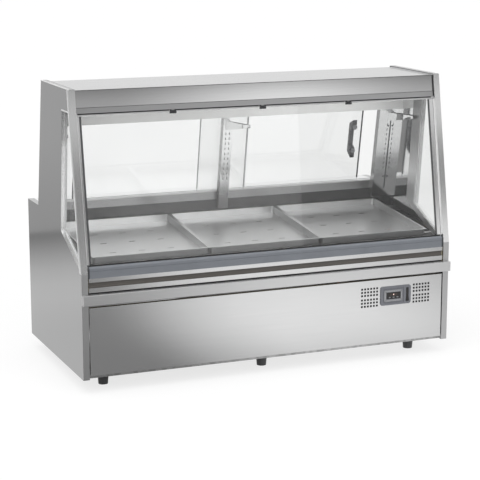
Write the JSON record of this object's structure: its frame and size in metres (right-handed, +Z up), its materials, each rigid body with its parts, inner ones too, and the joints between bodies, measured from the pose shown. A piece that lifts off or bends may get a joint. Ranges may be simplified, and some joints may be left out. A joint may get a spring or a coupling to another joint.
{
  "type": "refrigerated display counter",
  "caption": "Stainless refrigerated display counter with a sloping hinged glass front, glazed ends, insulated tub with slanting pans, sliding rear doors and a condensing unit in the base.",
  "frame": {"origin": "middle of the footprint, on the floor under the feet", "axes": "+X along the counter to the customer's right, -Y towards the customer, +Z up"},
  "size_m": [1.8, 0.877, 1.315],
  "materials": {
    "galvanised": "galvanised",
    "black_plastic": "matt",
    "brushed_side": "brushed",
    "brushed_front": "brushed",
    "brushed_top": "brushed",
    "bright_trim": "satin",
    "polished_liner": "polished",
    "pan_steel": "satin",
    "foam": "matt",
    "clear_glass": "clear",
    "black_rubber": "matt",
    "grey_rubber": "matt",
    "white_sheet": "satin",
    "lamp_white": "satin",
    "grey_plastic": "satin",
    "dark_metal": "satin",
    "coil_aluminium": "mill",
    "black_paint": "satin",
    "copper": "drawn",
    "control_grey": "satin",
    "control_black": "gloss",
    "key_grey": "satin",
    "rail_aluminium": "anodised",
    "handle_black": "satin"
  },
  "bodies": {
    "case": {"base_frame": "galvanised", "levelling_feet": "black_plastic", "end_panel_left": "brushed_side", "end_panel_right": "brushed_side", "end_liner_left": "polished_liner", "end_liner_right": "polished_liner", "end_insulation": "foam", "front_post_left": "bright_trim", "front_post_right": "bright_trim", "side_glass_left": "clear_glass", "side_glass_right": "clear_glass", "side_glass_seals": "grey_rubber", "canopy_top": "brushed_top", "canopy_ceiling": "white_sheet", "lamp_housing": "white_sheet", "lamp_diffuser": "lamp_white", "upper_glass_rail": "rail_aluminium", "hinge_brackets": "dark_metal", "hinge_pins": "bright_trim", "front_glass_seals": "black_rubber", "front_profile": "grey_plastic", "profile_end_caps": "black_plastic", "front_apron": "brushed_front", "bumper_rail": "brushed_front", "front_panel": "brushed_front", "tub_liner": "polished_liner", "tub_insulation": "foam", "pan_bearers": "galvanised", "deck_pans": "pan_steel", "evaporator_coil": "coil_aluminium", "drain_outlet": "black_plastic", "unit_base": "galvanised", "compressor": "black_paint", "condenser_coil": "coil_aluminium", "fan_shroud": "galvanised", "fan_motor": "black_paint", "refrigerant_pipes": "copper", "electrical_box": "grey_plastic", "control_housing": "control_grey", "thermostat": "control_black", "door_rail_top": "rail_aluminium", "door_rail_bottom": "rail_aluminium", "rear_upright_left": "polished_liner", "rear_upright_right": "polished_liner", "centre_post": "polished_liner", "shelf_brackets": "polished_liner", "rear_panel": "brushed_side", "rear_ledge": "brushed_top"},
    "front_glass": {"front_glass": "clear_glass", "hinge_clamps": "dark_metal"},
    "left_door": {"door_left": "clear_glass", "door_pull": "handle_black"},
    "right_door": {"door_right": "clear_glass", "door_handle": "handle_black"},
    "rocker": {"rocker_switch": "control_black"},
    "down_key": {"key_down": "key_grey"},
    "set_key": {"key_set": "key_grey"},
    "up_key": {"key_up": "key_grey"},
    "fan": {"fan_blades": "coil_aluminium"}
  },
  "joints": [
    {"name": "front_glass_hinge", "type": "hinge", "parent": "case", "child": "front_glass", "pos_m": [0, -0.28241, 1.2052], "axis": [-1, 0, 0], "range_deg": [0, 75]},
    {"name": "left_door_slide", "type": "slide", "parent": "case", "child": "left_door", "axis": [1, 0, 0], "range_m": [-0.0955, 0.7185]},
    {"name": "right_door_slide", "type": "slide", "parent": "case", "child": "right_door", "axis": [1, 0, 0], "range_m": [-0.7185, 0.0955]},
    {"name": "rocker_pivot", "type": "hinge", "parent": "case", "child": "rocker", "pos_m": [0.682, -0.415, 0.3045], "axis": [1, 0, 0], "range_deg": [0, 12]},
    {"name": "down_press", "type": "slide", "parent": "case", "child": "down_key", "axis": [0, 1, 0], "range_m": [0, 0.0008], "stiffness_N_per_m": 400},
    {"name": "set_press", "type": "slide", "parent": "case", "child": "set_key", "axis": [0, 1, 0], "range_m": [0, 0.0008], "stiffness_N_per_m": 400},
    {"name": "up_press", "type": "slide", "parent": "case", "child": "up_key", "axis": [0, 1, 0], "range_m": [0, 0.0008], "stiffness_N_per_m": 400},
    {"name": "fan_spin", "type": "hinge", "parent": "case", "child": "fan", "pos_m": [0.63, -0.12932, 0.2312], "axis": [0, 1, 0], "continuous": true}
  ]
}
